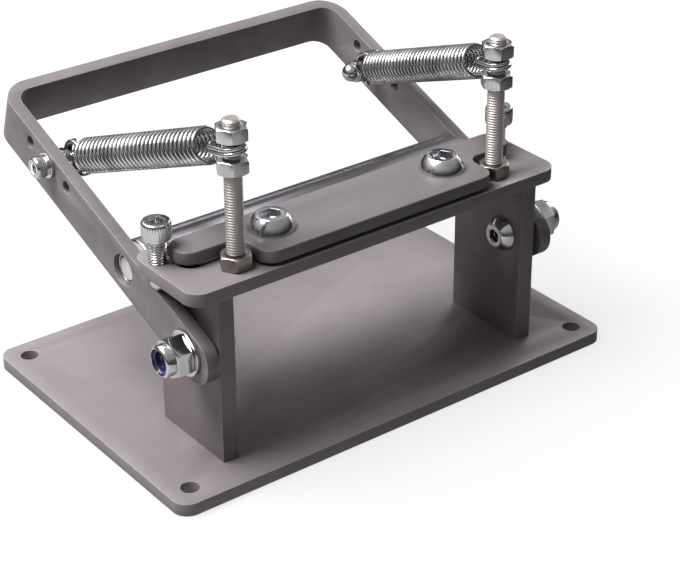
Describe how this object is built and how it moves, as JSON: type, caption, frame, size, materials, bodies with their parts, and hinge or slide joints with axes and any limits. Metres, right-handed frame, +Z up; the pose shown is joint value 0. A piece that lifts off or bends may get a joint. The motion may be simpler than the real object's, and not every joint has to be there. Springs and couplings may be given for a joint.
{
  "type": "leather splitting machine",
  "caption": "Bench leather splitter: a fixed blade under a clamp plate, with a sprung U-shaped lever that carries a roller beneath the cutting edge.",
  "frame": {"origin": "centre of the base plate's underside, midway between its four fixing holes", "axes": "+Z up; +X to the operator's right along the blade; +Y to the back, from the clamp plate towards the lever's cross bar"},
  "size_m": [0.2416, 0.1899, 0.1595],
  "materials": {
    "plate_steel": "matt warm grey phosphated steel plate",
    "handle_steel": "matt warm grey phosphated flat bar",
    "blade_steel": "ground tool steel with a polished bevel",
    "roller_steel": "turned and polished steel",
    "bright_steel": "bright zinc-plated steel",
    "spring_steel": "bright plated spring wire",
    "bush_steel": "hardened steel bush, turned",
    "black_steel": "black oxide screw",
    "nylon": "blue-violet nylon ring"
  },
  "bodies": {
    "frame": {"base_plate": "plate_steel", "left_upright": "plate_steel", "right_upright": "plate_steel", "base_screws": "black_steel", "top_plate": "plate_steel", "top_plate_screws": "black_steel", "clamp_plate": "plate_steel", "blade": "blade_steel", "left_clamp_screw": "bright_steel", "right_clamp_screw": "bright_steel", "left_stud": "bright_steel", "right_stud": "bright_steel", "left_stud_nut": "bright_steel", "right_stud_nut": "bright_steel", "left_spring_lower_nut": "bright_steel", "right_spring_lower_nut": "bright_steel", "left_spring_upper_nut": "bright_steel", "right_spring_upper_nut": "bright_steel", "left_spring": "spring_steel", "right_spring": "spring_steel", "left_pivot_bolt": "bright_steel", "right_pivot_bolt": "bright_steel", "left_pivot_spacer": "bright_steel", "right_pivot_spacer": "bright_steel", "left_pivot_washer": "bright_steel", "right_pivot_washer": "bright_steel", "left_pivot_nut": "bright_steel", "right_pivot_nut": "bright_steel", "left_nut_insert": "nylon", "right_nut_insert": "nylon"},
    "handle": {"handle": "handle_steel", "left_roller_bush": "bush_steel", "left_anchor_screw": "bright_steel", "left_anchor_washer": "bright_steel", "left_anchor_jam_nut": "bright_steel", "left_anchor_nut": "bright_steel", "right_roller_bush": "bush_steel", "right_anchor_screw": "bright_steel", "right_anchor_washer": "bright_steel", "right_anchor_jam_nut": "bright_steel", "right_anchor_nut": "bright_steel"},
    "roller": {"roller": "roller_steel"},
    "left_adjuster": {"left_adjuster_screw": "bright_steel"},
    "right_adjuster": {"right_adjuster_screw": "bright_steel"}
  },
  "joints": [
    {"name": "handle_pivot", "type": "hinge", "parent": "frame", "child": "handle", "pos_m": [0, -0.0494, 0.05854], "axis": [-1, 0, 0], "range_deg": [0, 35], "stiffness_Nm_per_rad": 12, "springref_deg": -20.05, "deforming": ["left_spring", "right_spring"]},
    {"name": "roller_spin", "type": "hinge", "parent": "handle", "child": "roller", "pos_m": [0, -0.0007, 0.07675], "axis": [1, 0, 0], "continuous": true},
    {"name": "left_adjuster_travel", "type": "slide", "parent": "frame", "child": "left_adjuster", "axis": [0, 0, 1], "range_m": [0, 0.01]},
    {"name": "right_adjuster_travel", "type": "slide", "parent": "frame", "child": "right_adjuster", "axis": [0, 0, 1], "range_m": [0, 0.01]}
  ]
}
